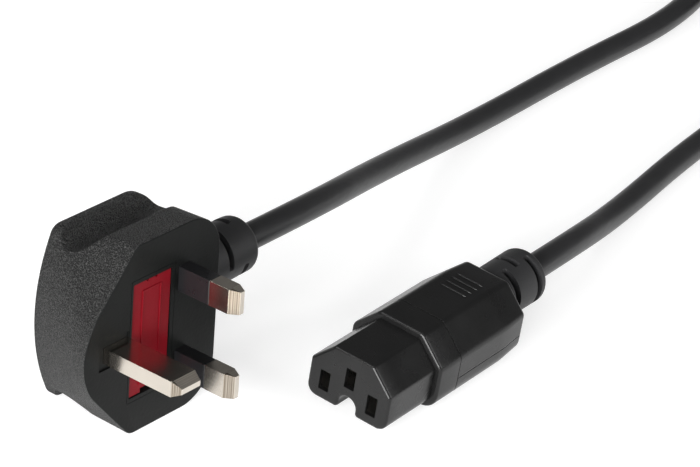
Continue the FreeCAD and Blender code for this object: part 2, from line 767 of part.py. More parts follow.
def contact_places():
    """Centres of the line, neutral and earth contacts, seen along the connector."""
    return {"line": (-contact_spacing / 2, 0), "neutral": (contact_spacing / 2, 0),
            "earth": (0, contact_offset)}


def rear_chamber(start, end):
    """Space behind the contacts where the cores are joined to them."""
    return box(start, end, -rear_chamber_half_width, rear_chamber_half_width, rear_chamber_bottom,
               rear_chamber_top)


def contact_block(start, end, centre, margin):
    """Block round a contact slot, wider than the slot by a margin on each side."""
    half_width = slot_width / 2 + margin
    half_height = slot_height / 2 + margin
    return box(start, end, centre[0] - half_width, centre[0] + half_width, centre[1] - half_height,
               centre[1] + half_height)


def make_connector_front():
    """Stiff front of the connector: notched nose, stepped collar and three contact slots."""
    nose = connector_loft(rounded_stations(0, 1, 0, front_edge_radius) + [(nose_length + 1, 0)])
    collar = connector_loft(rounded_stations(nose_length, 1, -shoulder_step, shoulder_radius)
                            + [(collar_end, -shoulder_step)])
    front = nose.fuse(collar)
    keyway = Part.makeCylinder(keyway_radius, keyway_length + 1, V(-1, 0, keyway_top - keyway_radius), X_AXIS)
    channel = box(-1, keyway_length, -keyway_radius, keyway_radius, nose_bottom - 1, keyway_top - keyway_radius)
    front = front.cut(keyway.fuse(channel))
    for centre in contact_places().values():
        front = front.cut(contact_block(-1, rear_chamber_start, centre, 0))
        front = front.cut(contact_block(slot_lip, rear_chamber_start, centre, contact_wall + fit_gap))
    return front.cut(rear_chamber(rear_chamber_start, collar_end)).removeSplitter()


def make_contact(centre):
    """Folded sleeve contact with a crimp for its core at the back."""
    sleeve = contact_block(slot_lip, contact_end, centre, contact_wall)
    sleeve = sleeve.cut(contact_block(slot_lip, contact_end, centre, 0))
    bottom = centre[1] - slot_height / 2 - contact_wall
    tail = box(contact_end - contact_wall, contact_crimp_x + strip, centre[0] - slot_width / 2,
               centre[0] + slot_width / 2, bottom, bottom + contact_wall)
    barrel = crimp_barrel(V(contact_crimp_x, centre[0], bottom + crimp_radius), X_AXIS)
    return sleeve.fuse([tail, barrel]).removeSplitter()


def make_connector_core(centre, turn):
    """Core from the end of the sheath to the crimp of its contact."""
    crimp_z = centre[1] - slot_height / 2 - contact_wall + crimp_radius
    mouth = V(contact_crimp_x + crimp_length, centre[0], crimp_z)
    angle = math.radians(turn)
    start = V(connector_sheath_x, core_ring_radius * math.sin(angle),
              connector_axis_z + core_ring_radius * math.cos(angle))
    lead = X_AXIS * connector_core_lead
    points = [start, start - lead, mouth + lead, mouth]
    return core_with_end(points, X_AXIS * -1)


def make_connector_body():
    """Grip of the connector, with four short ribs on top and a drawn-in back."""
    back_inset = back_taper_inset - shoulder_step
    back_edge = list(reversed(rounded_stations(connector_length, -1, back_inset, connector_back_radius)))
    body = connector_loft([(collar_end, -shoulder_step), (back_taper_start, -shoulder_step)] + back_edge)
    body = body.cut(rear_chamber(collar_end, rear_chamber_end))
    top = nose_top + shoulder_step
    for index in range(grip_rib_count):
        middle = grip_rib_start + index * grip_rib_pitch
        body = body.fuse(box(middle - grip_rib_width / 2, middle + grip_rib_width / 2, -grip_rib_length / 2,
                             grip_rib_length / 2, top - 1, top + grip_rib_height))
    centre = V(rear_chamber_end - 1, 0, connector_axis_z)
    body = body.cut(Part.makeCylinder(cord_radius + fit_gap, connector_length, centre, X_AXIS))
    neck_start = V(back_relief_neck_x, 0, connector_axis_z)
    return body.cut(Part.makeCylinder(back_relief_neck_radius + fit_gap, connector_length, neck_start, X_AXIS))


def make_connector_relief():
    """Strain relief behind the connector, with slots on both sides, top and bottom."""
    bore = cord_radius + fit_gap
    end_x = back_relief_end_x
    profile = [V(connector_length, 0, bore), V(connector_length, 0, back_relief_base_radius),
               V(end_x - back_relief_round, 0, back_relief_end_radius),
               V(end_x, 0, back_relief_end_radius - back_relief_round), V(end_x, 0, bore)]
    relief = Part.Face(Part.makePolygon(profile + profile[:1])).revolve(ORIGIN, X_AXIS, 360)
    relief = Part.Shape(relief)
    centre = V(0, 0, connector_axis_z)
    relief.translate(centre)
    neck = Part.makeCylinder(back_relief_neck_radius, connector_length - back_relief_neck_x,
                             centre + X_AXIS * back_relief_neck_x, X_AXIS)
    neck = neck.cut(Part.makeCylinder(bore, connector_length, centre, X_AXIS))
    relief = relief.fuse(neck)
    slots = zip(back_relief_slot_places, back_relief_slot_turns, back_relief_slot_angles)
    for place, turn, angle in slots:
        for opposite in (0, 180):
            slot = relief_slot(centre, X_AXIS, place, back_relief_slot_width, angle, turn + opposite,
                               bore + relief_core_wall, back_relief_end_radius + 1)
            relief = relief.cut(slot)
    return relief.removeSplitter()


def make_connector():
    """Every piece of the connector, in the connector's own frame."""
    places = contact_places()
    sheath = Part.makeCylinder(cord_radius, back_relief_end_x - connector_sheath_x,
                               V(connector_sheath_x, 0, connector_axis_z), X_AXIS)
    return {
        "connector_front": make_connector_front(),
        "connector_body": make_connector_body(),
        "connector_strain_relief": make_connector_relief(),
        "line_contact": make_contact(places["line"]),
        "neutral_contact": make_contact(places["neutral"]),
        "earth_contact": make_contact(places["earth"]),
        "connector_live_core": make_connector_core(places["line"], 2 * core_spread_turn),
        "connector_neutral_core": make_connector_core(places["neutral"], core_spread_turn),
        "connector_earth_core": make_connector_core(places["earth"], 0),
        "connector_sheath_end": sheath,
    }


def lay_connector(shape):
    """Put the connector flat on the surface, at its place beside the plug."""
    laid = shape.copy()
    laid.rotate(ORIGIN, Z_AXIS, connector_turn)
    laid.translate(V(connector_x, connector_y, shoulder_step - nose_bottom))
    return laid


def coil_turn():
    """Angle that the cord turns through in the coil, in radians."""
    return math.radians(360 * coil_turns + 180 + 2 * coil_lead_angle)


def coil_outer_radius():
    """Radius of the outermost turn, which each layer winds in from or out to."""
    return coil_radius + cord_diameter * coil_turn() / (4 * math.pi * coil_layers)


def coil_lead(side, layer):
    """Outer end and direction of the straight lead of the coil on one side."""
    lead = math.radians(coil_lead_angle) * side
    direction = V(math.cos(lead), math.sin(lead), 0)
    outward = V(-math.sin(lead), math.cos(lead), 0) * side
    touch = V(coil_x, coil_y, cord_radius + layer * cord_diameter) + outward * coil_outer_radius()
    return touch - direction * coil_lead_length, direction


def make_cord_coil():
    """Wound length of the cord as a closed ring, with its two straight leads."""
    height = coil_layers * cord_diameter - 2 * coil_slack
    base = V(coil_x, coil_y, coil_slack)
    outer_radius = coil_outer_radius() + cord_radius - coil_slack
    ring = Part.makeCylinder(outer_radius, height, base)
    hole = Part.makeCylinder(2 * coil_radius - outer_radius, height, base)
    coil = ring.cut(hole)
    for side, layer in ((1, 0), (-1, coil_layers - 1)):
        end, direction = coil_lead(side, layer)
        coil = coil.fuse(Part.makeCylinder(cord_radius, coil_lead_length, end, direction))
    return coil.removeSplitter()


def plug_exit():
    """Middle of the cord where it leaves the plug."""
    return lay_plug(Part.Vertex(relief_end_x, cord_axis_y, 0)).Point


def connector_exit():
    """Middle of the cord where it leaves the connector, and its direction there."""
    back = lay_connector(Part.Vertex(back_relief_end_x, 0, connector_axis_z)).Point
    front = lay_connector(Part.Vertex(0, 0, connector_axis_z)).Point
    return back, (back - front).normalize()


def cord_from_plug_points():
    """Route of the cord from the plug down to the surface and on to the coil."""
    start = plug_exit()
    end, direction = coil_lead(1, 0)
    middle = [V(*place) for place in zip(plug_cord_x, plug_cord_y, plug_cord_z)]
    return [start, start + X_AXIS * plug_cord_first_run] + middle + [end - direction * plug_cord_last_run, end]


def cord_to_connector_points():
    """Route of the cord from the coil down to the surface and on to the connector."""
    start, direction = connector_exit()
    end, end_direction = coil_lead(-1, coil_layers - 1)
    middle = [V(*place) for place in zip(connector_cord_x, connector_cord_y, connector_cord_z)]
    points = [start, start + direction * connector_cord_first_run] + middle
    points = points + [end - end_direction * connector_cord_last_run, end]
    return list(reversed(points))


def check_route(name, points, tube, length):
    """Print the bends of a cord tube and its volume beside section times length."""
    bends = [round(radius) for radius in route_radii(points) if radius]
    section = math.pi * cord_radius ** 2
    print(name, "bend radii", bends, "length", round(length, 1), "volume", round(tube.Volume),
          "section times length", round(section * length))


def make_cords():
    """The two laid stretches of the cord and the coil between them."""
    pieces = {}
    total = relief_end_x - sheath_inner_x + back_relief_end_x - connector_sheath_x
    routes = (("cord_from_plug", cord_from_plug_points()), ("cord_to_connector", cord_to_connector_points()))
    for name, points in routes:
        tube, length = routed_tube(points, cord_radius)
        check_route(name, points, tube, length)
        pieces[name] = tube
        total = total + length
    pieces["cord_coil"] = make_cord_coil()
    total = total + 2 * coil_lead_length + coil_turn() * coil_radius
    print("cord in all", round(total), "wanted", cord_length)
    return pieces


def main():
    os.makedirs("parts", exist_ok=True)
    pieces = {name: lay_plug(shape) for name, shape in make_plug().items()}
    pieces.update({name: lay_connector(shape) for name, shape in make_connector().items()})
    pieces.update(make_cords())
    for name, shape in pieces.items():
        print(name, shape.isValid(), len(shape.Solids), round(shape.Volume, 1))
        shape.exportStep("parts/" + name + ".step")


main()
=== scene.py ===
import math

import bmesh
import bpy
import numpy as np
from mathutils import Matrix, Vector
from mathutils.geometry import delaunay_2d_cdt


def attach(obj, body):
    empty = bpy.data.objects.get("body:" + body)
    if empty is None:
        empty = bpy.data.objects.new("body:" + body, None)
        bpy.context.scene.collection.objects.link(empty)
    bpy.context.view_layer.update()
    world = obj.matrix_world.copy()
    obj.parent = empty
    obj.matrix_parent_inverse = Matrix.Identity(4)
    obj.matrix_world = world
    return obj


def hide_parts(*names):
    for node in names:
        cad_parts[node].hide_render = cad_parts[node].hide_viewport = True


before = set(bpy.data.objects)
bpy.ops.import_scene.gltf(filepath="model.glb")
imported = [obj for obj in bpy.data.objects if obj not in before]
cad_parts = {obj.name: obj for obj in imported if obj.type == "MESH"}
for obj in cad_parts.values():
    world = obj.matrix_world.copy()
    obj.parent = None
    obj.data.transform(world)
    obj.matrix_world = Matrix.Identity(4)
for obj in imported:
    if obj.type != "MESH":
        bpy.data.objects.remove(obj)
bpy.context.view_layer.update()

# Camera
# A long lens, high in front of the pins and to their left, that looks down at the pin face.
# Its axes are the columns of its turn: right, up and towards the viewer.
camera_place = (-0.51178, -0.40412, 0.45099)
camera_right = (0.63375, -0.75936, 0.14744)
camera_up = (0.32017, 0.43101, 0.84363)
camera_back = (-0.70417, -0.48744, 0.51628)


def put_in_scene(name, data):
    """A new object with its mesh, curve, lamp or camera."""
    made = bpy.data.objects.new(name, data)
    bpy.context.scene.collection.objects.link(made)
    return made


camera = put_in_scene("camera", bpy.data.cameras.new("camera"))
camera_turn = Matrix((camera_right, camera_up, camera_back)).transposed()
camera.matrix_world = Matrix.Translation(camera_place) @ camera_turn.to_4x4()
camera.data.sensor_width = 36
camera.data.lens = 173.39
camera.data.clip_start = 0.05
camera.data.clip_end = 20
bpy.context.scene.camera = camera

# Mains cord
# One round, black, PVC-sheathed cord of 7 mm. It leaves the plug, drops to the surface
# and runs out of the picture to a coil, and comes back from there to the connector.
# The sheath is extruded, so its faint lines run along it.
cord_diameter = 0.007
from_plug = [(0.04625, 0.014077, 0.023191), (0.07225, 0.014077, 0.023191),
             (0.118, 0.0254, 0.013), (0.170, 0.0342, 0.0035), (0.224, 0.0369, 0.0035)]
to_connector = [(0.244, -0.0084, 0.0035), (0.207, -0.012, 0.0035), (0.165, -0.019, 0.0035)]
straight_before_coil = 0.039
straight_after_coil = 0.034
straight_at_connector = 0.020
coil_centre = (0.352, 0.006)
coil_radius = 0.0408
coil_lead = 0.030
coil_lead_angle = math.radians(15)
coil_total = math.radians(2010)
coil_swing = cord_diameter * coil_total / (8 * math.pi)
coil_climb = math.radians(70)
points_per_turn = 16

# The connector's place is here because the cord ends in it. Its own sizes are in millimetres.
connector_turn = math.radians(3.0)
connector_origin = np.array([0.0376, -0.0311, 0.007])
connector_length = 73.8
connector_axis = 2.8


def join(tree, socket, value):
    """Link a wire to a socket, or set a plain value on it."""
    if isinstance(value, Wire):
        tree.links.new(value.socket, socket)
    else:
        socket.default_value = value


class Wire:
    """A value in a shader: arithmetic on it, or on a number and it, adds Math nodes."""

    def __init__(self, tree, socket):
        self.tree = tree
        self.socket = socket

    def apply(self, operation, first, second=0.0):
        """The result of a Math node on two wires or numbers."""
        node = self.tree.nodes.new("ShaderNodeMath")
        node.operation = operation
        join(self.tree, node.inputs[0], first)
        join(self.tree, node.inputs[1], second)
        return Wire(self.tree, node.outputs[0])

    def __add__(self, other):
        return self.apply("ADD", self, other)

    def __radd__(self, other):
        return self.apply("ADD", other, self)

    def __sub__(self, other):
        return self.apply("SUBTRACT", self, other)

    def __rsub__(self, other):
        return self.apply("SUBTRACT", other, self)

    def __mul__(self, other):
        return self.apply("MULTIPLY", self, other)

    def __rmul__(self, other):
        return self.apply("MULTIPLY", other, self)

    def __truediv__(self, other):
        return self.apply("DIVIDE", self, other)

    def __rtruediv__(self, other):
        return self.apply("DIVIDE", other, self)

    def __gt__(self, other):
        return self.apply("GREATER_THAN", self, other)

    def __lt__(self, other):
        return self.apply("LESS_THAN", self, other)

    def __abs__(self):
        return self.apply("ABSOLUTE", self)

    def at_most(self, other):
        return self.apply("MINIMUM", self, other)

    def at_least(self, other):
        return self.apply("MAXIMUM", self, other)

    def clamped(self):
        """The value kept from 0 to 1."""
        return self.at_least(0).at_most(1)

    def contrast(self, gain, middle):
        """The value spread round 0.5 by a gain, moved to a middle and kept from 0 to 1."""
        return ((self - 0.5) * gain + middle).clamped()


class Nodes:
    """A node tree: node() adds a node, its settings first and then its sockets."""

    def __init__(self, tree):
        self.tree = tree

    def node(self, kind, settings=(), inputs=(), output=0):
        made = self.tree.nodes.new("ShaderNode" + kind)
        for key, value in dict(settings).items():
            setattr(made, key, value)
        for key, value in dict(inputs).items():
            join(self.tree, made.inputs[key], value)
        return Wire(self.tree, made.outputs[output])


class Finish(Nodes):
    """A procedural material."""

    def __init__(self, name):
        self.material = bpy.data.materials.new(name)
        self.material.use_nodes = True
        super().__init__(self.material.node_tree)
        self.shader = self.tree.nodes["Principled BSDF"]

    def place(self):
        """Object coordinates, which are the frame's own metres."""
        return self.node("TexCoord", output="Object")

    def grain(self, size, detail=2.0, stretch=(1, 1, 1)):
        """Noise from 0 to 1 with cells of about the given size in metres."""
        scaled = self.node("Mapping", inputs={"Vector": self.place(), "Scale": stretch})
        return self.node("TexNoise", inputs={"Vector": scaled, "Scale": 1 / size, "Detail": detail})

    def blend(self, factor, first, second):
        """Colour between two colours. A Mix node has its colours on sockets 6, 7 and 2."""
        return self.node("Mix", {"data_type": "RGBA"}, {0: factor, 6: first, 7: second}, output=2)

    def bump(self, height, distance):
        """Normal raised by a height of 0 to 1 times a distance in metres."""
        return self.node("Bump", inputs={"Height": height, "Distance": distance})

    def set(self, **values):
        """Put values on the shader's sockets, named in lower case with underscores."""
        for key, value in values.items():
            name = "Specular IOR Level" if key == "gloss" else key.replace("_", " ").title()
            join(self.tree, self.shader.inputs[name], value)
        return self.material


def cord_finish():
    """Satin PVC: long faint draw lines and a slightly uneven sheen."""
    finish = Finish("cord_sheath")
    cloud = finish.grain(0.006)
    draw = finish.grain(0.0012, stretch=(0.08, 1, 1))
    colour = finish.blend(cloud, (0.015, 0.015, 0.016, 1), (0.021, 0.021, 0.022, 1))
    return finish.set(base_color=colour, gloss=0.42, roughness=0.3 + 0.12 * cloud,
                      normal=finish.bump(draw, 0.00006))


def coil_lead_end(side):
    """Outer end and direction of a straight lead of the coil: 1 is the lower, -1 the upper.

    The lead touches the outermost turn, half or one and a half diameters above the surface.
    """
    angle = coil_lead_angle * side
    direction = np.array([math.cos(angle), math.sin(angle), 0])
    outward = np.array([-math.sin(angle), math.cos(angle), 0]) * side
    height = cord_diameter * (0.5 if side > 0 else 1.5)
    touch = np.array([*coil_centre, height]) + outward * (coil_radius + coil_swing)
    return touch - direction * coil_lead, direction


def coil_points():
    """Centreline of the coil: a spiral inwards on the surface and one outwards on top of it.

    At a share s of the length the radius is radius + swing (|4 s - 2| - 1): it falls by a
    diameter a turn to the middle, and grows again. The height is half a diameter, and past the
    middle one and a half; between them it follows the smooth step t t (3 - 2 t).
    """
    steps = int(coil_total / (2 * math.pi) * points_per_turn)
    share = np.linspace(0, 1, steps)
    angle = math.pi / 2 + coil_lead_angle - share * coil_total
    radius = coil_radius + coil_swing * (np.abs(4 * share - 2) - 1)
    rise = np.clip((share - 0.5) * coil_total / coil_climb + 0.5, 0, 1)
    height = cord_diameter * (0.5 + rise * rise * (3 - 2 * rise))
    x = coil_centre[0] + radius * np.cos(angle)
    y = coil_centre[1] + radius * np.sin(angle)
    return np.stack([x, y, height], axis=1)


def on_connector(points):
    """Points drawn in the connector's own millimetres, turned and set down at its place."""
    points = np.asarray(points, dtype=float) / 1000
    cosine = math.cos(connector_turn)
    sine = math.sin(connector_turn)
    x = points[..., 0] * cosine - points[..., 1] * sine
    y = points[..., 0] * sine + points[..., 1] * cosine
    return np.stack([x, y, points[..., 2]], axis=-1) + connector_origin


lower_lead, lower_way = coil_lead_end(1)
upper_lead, upper_way = coil_lead_end(-1)
connector_exit = on_connector((connector_length, 0, connector_axis))
connector_way = np.array([math.cos(connector_turn), math.sin(connector_turn), 0])
route = [*from_plug, lower_lead - lower_way * straight_before_coil, lower_lead]
route = route + list(coil_points())
route = route + [upper_lead, upper_lead - upper_way * straight_after_coil, *to_connector]
route = route + [connector_exit + connector_way * straight_at_connector, connector_exit]

cord_curve = bpy.data.curves.new("mains_cord", "CURVE")
cord_curve.dimensions = "3D"
cord_curve.bevel_depth = cord_diameter / 2
cord_curve.bevel_resolution = 8
cord_curve.resolution_u = 16
cord_curve.use_fill_caps = True
centreline = cord_curve.splines.new("NURBS")
centreline.points.add(len(route) - 1)
weighted = np.column_stack([np.array(route, dtype=float), np.ones(len(route))])
centreline.points.foreach_set("co", weighted.ravel())
centreline.order_u = 3
centreline.use_endpoint_u = True
centreline.use_smooth = True
cord = put_in_scene("mains_cord", cord_curve)
cord_curve.materials.append(cord_finish())
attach(cord, "lead")
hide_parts("cord_from_plug", "cord_coil", "cord_to_connector")

# Plug housing
# Black plastic moulded round the pin bridge. The pin face is smooth; the sides, the earth
# end and the back carry a coarse spark-eroded grain. Both sides have a finger groove.
# Sizes are in the plug's own millimetres: x towards the cord, y back from the face, z across.
housing_depth = 24.0
housing_face = {"half": 24.88, "cable": 12.3, "side": -16.5, "nose": -38.6,
                "nose_radius": 16.8, "corner": 10.8}
housing_back = {"half": 22.48, "cable": 11.2, "side": -19.8, "nose": -28.6,
                "nose_radius": 50.0, "corner": 7.0}
housing_side_radius = 3.5
housing_least_radius = 0.3
housing_back_edge = 1.2
housing_face_edge = 0.35
side_taper = 2.4
plug_slope = math.atan2(side_taper, housing_depth)
plug_origin = (8.25, -4.0, 24.48)

# A finger groove: the half width at its floor, where its slope and its wall meet the floor and
# what they rise in a millimetre, and the widths over which its lines are rounded.
groove_floor = 18.6
groove_slope = {"foot": 14.2, "rise": 10.7 / 9.4}
groove_wall = {"foot": 19.8, "rise": 10.7 / 3.9}
groove_ridge_round = 1.0
groove_floor_round = 2.2
groove_edge_round = 0.35

# The chamber inside, and the openings of the face, each with its middle (x, z), its half size
# and its corner radius. A fine moulded groove, the border, runs round the carrier's pocket.
chamber_inset = 2.55
chamber_half = 16.45
chamber_front = 2.2
chamber_back = 21.5
pin_pitch = 22.23
pin_holes = [((0, side * pin_pitch / 2), (2.04, 3.23), 0.1) for side in (-1, 1)]
earth_hole = ((-pin_pitch, 0), (4.03, 2.04), 0.1)
earth_recess = ((-23.01, 0), (4.89, 3.69), 0.3)
recess_depth = 0.5
pocket = ((-10.8, 0), (6.55, 15.0), 0.3)
border_inner = ((-10.575, 0), (7.325, 16.0), 0.4)
border_outer = ((-10.575, 0), (7.475, 16.15), 0.4)
border_depth = 0.12

# What the plain mould made: a thin skin at the face, and the walls of the recess and of the
# pocket, found by a box round each, with its start along x and its half width.
plain_skin = 0.2
plain_walls_depth = 12.0
plain_walls_end = 4.0
recess_box = (-28.2, 4.0)
pocket_box = (-18.6, 16.6)

sharp_angle = math.radians(30)
sewing_distance = 1e-6


def on_plug(points):
    """Points drawn in the plug's own millimetres, laid down on the plug's tapered side."""
    x, y, z = np.moveaxis(np.asarray(points, dtype=float) + plug_origin, -1, 0)
    laid_y = y * math.cos(plug_slope) + z * math.sin(plug_slope)
    laid_z = z * math.cos(plug_slope) - y * math.sin(plug_slope)
    return np.stack([x, laid_y, laid_z], axis=-1) / 1000


def rounded_outline(corners, radii, arc_steps, run_steps):
    """Closed outlines with rounded corners, one for each row of corners.

    With b and a the unit vectors from a corner to the corner before and the one after, the arc
    turns by t = pi - angle(b, a), starts r tan(t/2) along b, and its point at a share s is
    centre + (start - centre) cos(s t) - b r sin(s t). Runs join the arcs in equal steps.
    """
    corners = np.asarray(corners, dtype=float)
    radii = np.asarray(radii, dtype=float)[..., None]
    back = np.roll(corners, 1, axis=-2) - corners
    ahead = np.roll(corners, -1, axis=-2) - corners
    back /= np.linalg.norm(back, axis=-1, keepdims=True)
    ahead /= np.linalg.norm(ahead, axis=-1, keepdims=True)
    bend = np.pi - np.arccos(np.clip((back * ahead).sum(-1, keepdims=True), -1, 1))
    start = corners + back * radii * np.tan(bend / 2)
    stop = corners + ahead * radii * np.tan(bend / 2)
    inward = back + ahead
    inward /= np.linalg.norm(inward, axis=-1, keepdims=True)
    centre = corners + inward * radii / np.cos(bend / 2)
    turn = np.linspace(0, 1, arc_steps + 1)[:, None] * bend[..., None, :]
    arc = centre[..., None, :] + (start - centre)[..., None, :] * np.cos(turn)
    arc = arc - back[..., None, :] * radii[..., None, :] * np.sin(turn)
    share = np.linspace(0, 1, run_steps + 1)[1:-1, None]
    following = np.roll(start, -1, axis=-2)
    run = stop[..., None, :] * (1 - share) + following[..., None, :] * share
    both = np.concatenate([arc, run], axis=-2)
    return both.reshape(both.shape[:-3] + (-1, 2))


def soft_minimum(first, second, width):
    """The smaller of a and b, rounded over a width w: (a + b - sqrt((a - b)^2 + w^2)) / 2."""
    return (first + second - np.sqrt((first - second) ** 2 + width * width)) / 2


def soft_maximum(first, second, width):
    """The greater of two values, rounded in the same way."""
    return -soft_minimum(-first, -second, width)


def housing_outline(depth, inset):
    """Outlines (x, z) of the housing at depths behind its face, moved inwards by an inset.

    Each size runs straight from its value at the face to its value at the back.
    """
    depth = np.asarray(depth, dtype=float)
    inset = np.broadcast_to(inset, depth.shape)
    share = depth / housing_depth
    at = {key: front + (housing_back[key] - front) * share for key, front in housing_face.items()}
    flank = np.arctan2(at["half"], at["side"] - at["nose"])
    half = at["half"] - inset
    cable = at["cable"] - inset
    side = at["side"] + inset * np.tan(flank / 2)
    tip = at["nose"] + inset / np.sin(flank)
    corners = [(cable, half), (cable, -half), (side, -half), (tip, 0 * tip), (side, half)]
    corners = np.stack([np.stack(corner, -1) for corner in corners], axis=-2)
    corner = np.maximum(at["corner"] - inset, housing_least_radius)
    ends = np.maximum(housing_side_radius - inset, housing_least_radius)
    radii = np.stack([corner, corner, ends, at["nose_radius"] - inset, ends], axis=-1)
    return rounded_outline(corners, radii, arc_steps=24, run_steps=40)


def groove_limit(depth):
    """Half width that the finger grooves leave: the greatest of floor, slope and wall."""
    slope = groove_floor + (groove_slope["foot"] - depth) * groove_slope["rise"]
    wall = groove_floor + (depth - groove_wall["foot"]) * groove_wall["rise"]
    return soft_maximum(soft_maximum(slope, wall, groove_ridge_round), groove_floor,
                        groove_floor_round)


def rectangle(opening, depth):
    """Loop (x, y, z) of an opening, a rounded rectangle, at a depth behind the face."""
    (x, z), half, radius = opening
    corners = [(x + half[0], z + half[1]), (x + half[0], z - half[1]),
               (x - half[0], z - half[1]), (x - half[0], z + half[1])]
    loop = rounded_outline([corners], [[radius] * 4], arc_steps=4, run_steps=2)[0]
    return np.stack([loop[:, 0], np.full(len(loop), depth), loop[:, 1]], axis=-1)


def inside(points, loop):
    """Whether points lie in a loop: a level ray crosses the loop an odd number of times."""
    start = loop[None, :, :]
    end = np.roll(loop, -1, axis=0)[None, :, :]
    x = points[:, None, 0]
    y = points[:, None, 1]
    spans = (start[..., 1] > y) != (end[..., 1] > y)
    rise = np.where(spans, end[..., 1] - start[..., 1], 1)
    crossing = start[..., 0] + (y - start[..., 1]) * (end[..., 0] - start[..., 0]) / rise
    return (np.sum(spans & (x < crossing), axis=1) % 2) == 1


def sheet_with_holes(outline, holes):
    """Triangles that fill a flat outline except for its holes, as (points, triangles).

    The loops are the fixed edges of a triangulation of all their points, and the triangles
    whose middle lies in a hole are left out.
    """
    loops = [outline, *holes]
    edges = []
    first = 0
    for loop in loops:
        index = np.arange(len(loop)) + first
        edges = edges + np.stack([index, np.roll(index, -1)], axis=1).tolist()
        first = first + len(loop)
    corners = [Vector(point) for point in np.concatenate(loops)]
    made = delaunay_2d_cdt(corners, edges, [], 1, 1e-6)
    flat = np.array([tuple(point) for point in made[0]])
    triangles = np.array([list(face) for face in made[2]])
    middle = flat[triangles].mean(axis=1)
    keep = np.ones(len(triangles), dtype=bool)
    for hole in holes:
        keep = keep & ~inside(middle, hole)
    return flat, triangles[keep]


class Shell:
    """Gathers the patches of one piece and turns them into a mesh object."""

    def __init__(self, name, place):
        self.name = name
        self.place = place
        self.points = []
        self.faces = []
        self.total = 0

    def add(self, points, faces):
        """Add a patch of points with faces that count from its first point."""
        self.points.append(points)
        self.faces.extend((np.asarray(faces) + self.total).tolist())
        self.total = self.total + len(points)

    def add_band(self, rings):
        """Quads between rings of equal length, from each ring to the next, closed round."""
        rings = np.asarray(rings, dtype=float)
        count, size = rings.shape[:2]
        i, j = np.meshgrid(np.arange(count - 1), np.arange(size), indexing="ij")
        after = (j + 1) % size
        quads = [i * size + j, i * size + after, (i + 1) * size + after, (i + 1) * size + j]
        self.add(rings.reshape(-1, 3), np.stack(quads, axis=-1).reshape(-1, 4))

    def add_fan(self, loop):
        """Close a loop with triangles to its middle."""
        index = np.arange(len(loop))
        triangles = np.stack([index, np.roll(index, -1), np.full(len(loop), len(loop))], axis=1)
        self.add(np.concatenate([loop, loop.mean(axis=0, keepdims=True)]), triangles)

    def add_tube(self, rings):
        """A band of rings that is closed at both ends."""
        self.add_band(rings)
        self.add_fan(rings[0])
        self.add_fan(rings[-1])

    def add_sheet(self, outline, holes, level):
        """Fill a flat loop except for its holes; all points share one value on the level axis."""
        plane = [axis for axis in range(3) if axis != level]
        flat, triangles = sheet_with_holes(outline[:, plane], [hole[:, plane] for hole in holes])
        points = np.full((len(flat), 3), outline[0, level])
        points[:, plane] = flat
        self.add(points, triangles)

    def build(self, material):
        """Mesh object with merged doubles, outward faces and its true edges sharp."""
        mesh = bpy.data.meshes.new(self.name)
        mesh.from_pydata(self.place(np.concatenate(self.points)).tolist(), [], self.faces)
        sewn = bmesh.new()
        sewn.from_mesh(mesh)
        bmesh.ops.remove_doubles(sewn, verts=sewn.verts, dist=sewing_distance)
        bmesh.ops.recalc_face_normals(sewn, faces=sewn.faces)
        sewn.to_mesh(mesh)
        sewn.free()
        mesh.polygons.foreach_set("use_smooth", np.ones(len(mesh.polygons), dtype=bool))
        mesh.set_sharp_from_angle(angle=sharp_angle)
        mesh.materials.append(material)
        return put_in_scene(self.name, mesh)


def grained_finish():
    """Black plastic from a spark-eroded mould: coarse pebbles, whose raised tops carry painted
    glints.
    """
    finish = Finish("housing_grained")
    pebbles_and_painted_glints = finish.grain(0.00034).contrast(4.2, 0.42)
    cloud = finish.grain(0.009)
    # The pebbles' raised tops are lighter in colour: painted glints. The same pattern gives the
    # bump its real relief.
    colour = finish.blend(pebbles_and_painted_glints, (0.007, 0.007, 0.007, 1), (0.055, 0.055, 0.054, 1))
    return finish.set(base_color=colour, gloss=0.18, roughness=0.5 + 0.08 * cloud,
                      normal=finish.bump(pebbles_and_painted_glints, 0.0004))


def smooth_finish():
    """The same plastic from a plain mould face: satin, with a slight unevenness of sheen."""
    finish = Finish("housing_smooth")
    fine = finish.grain(0.0008, detail=4.0)
    cloud = finish.grain(0.009)
    colour = finish.blend(cloud, (0.0055, 0.0060, 0.0058, 1), (0.0085, 0.0090, 0.0087, 1))
    return finish.set(base_color=colour, gloss=0.1, roughness=0.36 + 0.12 * cloud,
                      normal=finish.bump(fine, 0.00004))


def from_plain_mould(mesh):
    """Whether each face of the housing came from the plain mould, by where its middle lies.

    The middles are first taken back from where the plug lies to its own millimetres.
    """
    middles = np.empty(3 * len(mesh.polygons))
    mesh.polygons.foreach_get("center", middles)
    middles = middles.reshape(-1, 3) * 1000
    cosine = math.cos(plug_slope)
    sine = math.sin(plug_slope)
    along = middles[:, 0] - plug_origin[0]
    depth = middles @ (0, cosine, -sine) - plug_origin[1]
    across = np.abs(middles @ (0, sine, cosine) - plug_origin[2])
    in_recess = (along > recess_box[0]) & (across < recess_box[1])
    in_pocket = (along > pocket_box[0]) & (across < pocket_box[1])
    near_walls = (depth < plain_walls_depth) & (along < plain_walls_end)
    return (depth < plain_skin) | (near_walls & (in_recess | in_pocket))


